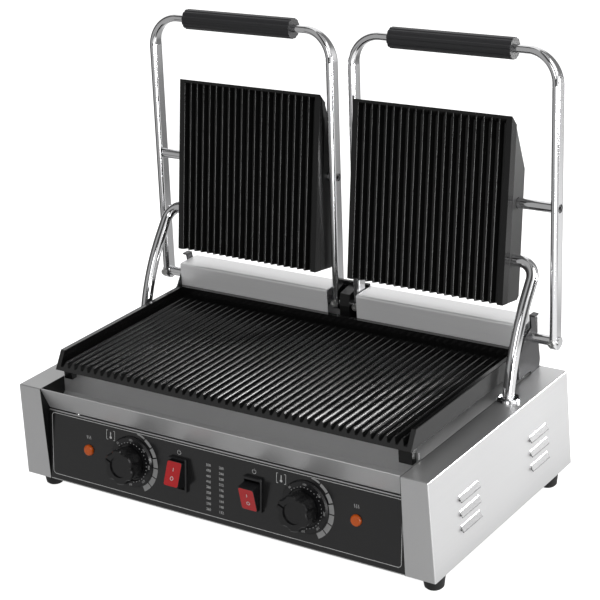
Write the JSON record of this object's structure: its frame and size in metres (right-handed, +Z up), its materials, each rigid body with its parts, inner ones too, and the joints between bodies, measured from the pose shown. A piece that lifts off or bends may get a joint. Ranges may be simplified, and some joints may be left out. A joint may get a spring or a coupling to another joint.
{
  "type": "panini press",
  "caption": "Double countertop panini press with ribbed cast-iron plates, two folding arms with long grips, chrome conduits, dials and rocker switches.",
  "frame": {"origin": "on the surface it stands on, midway between the four feet", "axes": "+X to the right-hand end seen from the front, +Y to the rear where the arms are hinged, +Z up"},
  "size_m": [0.5824, 0.365, 0.5325],
  "materials": {
    "stainless": "brushed",
    "overlay_film": "gloss",
    "foot_rubber": "matte",
    "fastener_zinc": "satin",
    "cast_plate": "matte",
    "cover_enamel": "satin",
    "heater_sheath": "satin",
    "thermostat_case": "matte",
    "knob_plastic": "satin",
    "dial_plastic": "satin",
    "spindle_steel": "satin",
    "switch_plastic": "gloss",
    "rocker_red": "gloss",
    "lamp_amber": "gloss",
    "terminal_ceramic": "satin",
    "gland_plastic": "matte",
    "bracket_steel": "brushed",
    "bracket_black": "satin",
    "spring_steel": "satin",
    "chrome": "polished",
    "grip_plastic": "satin"
  },
  "bodies": {
    "base": {"base_pan": "stainless", "left_end_housing": "stainless", "right_end_housing": "stainless", "back_panel": "stainless", "top_deck": "stainless", "front_panel": "stainless", "fascia_overlay": "overlay_film", "grease_trough": "stainless", "feet": "foot_rubber", "foot_screws": "fastener_zinc", "lower_plate": "cast_plate", "left_lower_heater": "heater_sheath", "right_lower_heater": "heater_sheath", "left_thermostat": "thermostat_case", "right_thermostat": "thermostat_case", "left_dial_ring": "dial_plastic", "right_dial_ring": "dial_plastic", "left_switch_body": "switch_plastic", "right_switch_body": "switch_plastic", "left_lamp": "lamp_amber", "right_lamp": "lamp_amber", "terminal_block": "terminal_ceramic", "cable_gland": "gland_plastic", "left_spring_cover": "stainless", "right_spring_cover": "stainless", "left_hinge_bracket": "bracket_steel", "right_hinge_bracket": "bracket_steel", "centre_bracket": "bracket_black", "left_counterbalance_spring": "spring_steel", "right_counterbalance_spring": "spring_steel", "left_conduit_ferrule": "chrome", "right_conduit_ferrule": "chrome"},
    "left_arm": {"left_arm_frame": "chrome", "left_grip": "grip_plastic", "left_hinge_shaft": "chrome", "left_plate_rod": "chrome", "left_rod_screws": "fastener_zinc", "left_set_screws": "fastener_zinc"},
    "left_upper": {"left_upper_plate": "cast_plate", "left_upper_cover": "cover_enamel", "left_upper_heater": "heater_sheath"},
    "left_conduit_tube": {"left_conduit": "chrome"},
    "left_dial": {"left_knob": "knob_plastic", "left_dial_spindle": "spindle_steel"},
    "left_switch": {"left_rocker": "switch_plastic", "left_rocker_lens": "rocker_red"},
    "right_arm": {"right_arm_frame": "chrome", "right_grip": "grip_plastic", "right_hinge_shaft": "chrome", "right_plate_rod": "chrome", "right_rod_screws": "fastener_zinc", "right_set_screws": "fastener_zinc"},
    "right_upper": {"right_upper_plate": "cast_plate", "right_upper_cover": "cover_enamel", "right_upper_heater": "heater_sheath"},
    "right_conduit_tube": {"right_conduit": "chrome"},
    "right_dial": {"right_knob": "knob_plastic", "right_dial_spindle": "spindle_steel"},
    "right_switch": {"right_rocker": "switch_plastic", "right_rocker_lens": "rocker_red"}
  },
  "joints": [
    {"name": "left_arm_fold", "type": "hinge", "parent": "base", "child": "left_arm", "pos_m": [-0.1487, 0.137, 0.185], "axis": [1, 0, 0], "range_deg": [0, 90.1], "stiffness_Nm_per_rad": 1.2, "springref_deg": -28.65},
    {"name": "left_plate_tilt", "type": "hinge", "parent": "left_arm", "child": "left_upper", "pos_m": [-0.1285, 0.1456, 0.34377], "axis": [1, 0, 0], "range_deg": [0, 9.1]},
    {"name": "left_conduit_swing", "type": "hinge", "parent": "left_upper", "child": "left_conduit_tube", "pos_m": [-0.23, 0.1303, 0.2797], "axis": [1, 0, 0], "range_deg": [-47, 0]},
    {"name": "left_dial_turn", "type": "hinge", "parent": "base", "child": "left_dial", "pos_m": [-0.1225, -0.15321, 0.07011], "axis": [0, 0.9917, -0.1288], "range_deg": [0, 270]},
    {"name": "left_switch_rock", "type": "hinge", "parent": "base", "child": "left_switch", "pos_m": [-0.053, -0.15519, 0.07037], "axis": [1, 0, 0], "range_deg": [0, 34]},
    {"name": "right_arm_fold", "type": "hinge", "parent": "base", "child": "right_arm", "pos_m": [0.1487, 0.137, 0.185], "axis": [1, 0, 0], "range_deg": [0, 90.1], "stiffness_Nm_per_rad": 1.2, "springref_deg": -28.65},
    {"name": "right_plate_tilt", "type": "hinge", "parent": "right_arm", "child": "right_upper", "pos_m": [0.1285, 0.1456, 0.34377], "axis": [1, 0, 0], "range_deg": [0, 9.1]},
    {"name": "right_conduit_swing", "type": "hinge", "parent": "right_upper", "child": "right_conduit_tube", "pos_m": [0.23, 0.1303, 0.2797], "axis": [1, 0, 0], "range_deg": [-47, 0]},
    {"name": "right_dial_turn", "type": "hinge", "parent": "base", "child": "right_dial", "pos_m": [0.1225, -0.15321, 0.07011], "axis": [0, 0.9917, -0.1288], "range_deg": [0, 270]},
    {"name": "right_switch_rock", "type": "hinge", "parent": "base", "child": "right_switch", "pos_m": [0.053, -0.15519, 0.07037], "axis": [1, 0, 0], "range_deg": [-34, 0]}
  ],
  "couplings": [
    {"joint": "left_plate_tilt", "follows": "left_arm_fold", "ratio": 0.1009},
    {"joint": "left_conduit_swing", "follows": "left_arm_fold", "ratio": -0.5216},
    {"joint": "right_plate_tilt", "follows": "right_arm_fold", "ratio": 0.1009},
    {"joint": "right_conduit_swing", "follows": "right_arm_fold", "ratio": -0.5216}
  ]
}
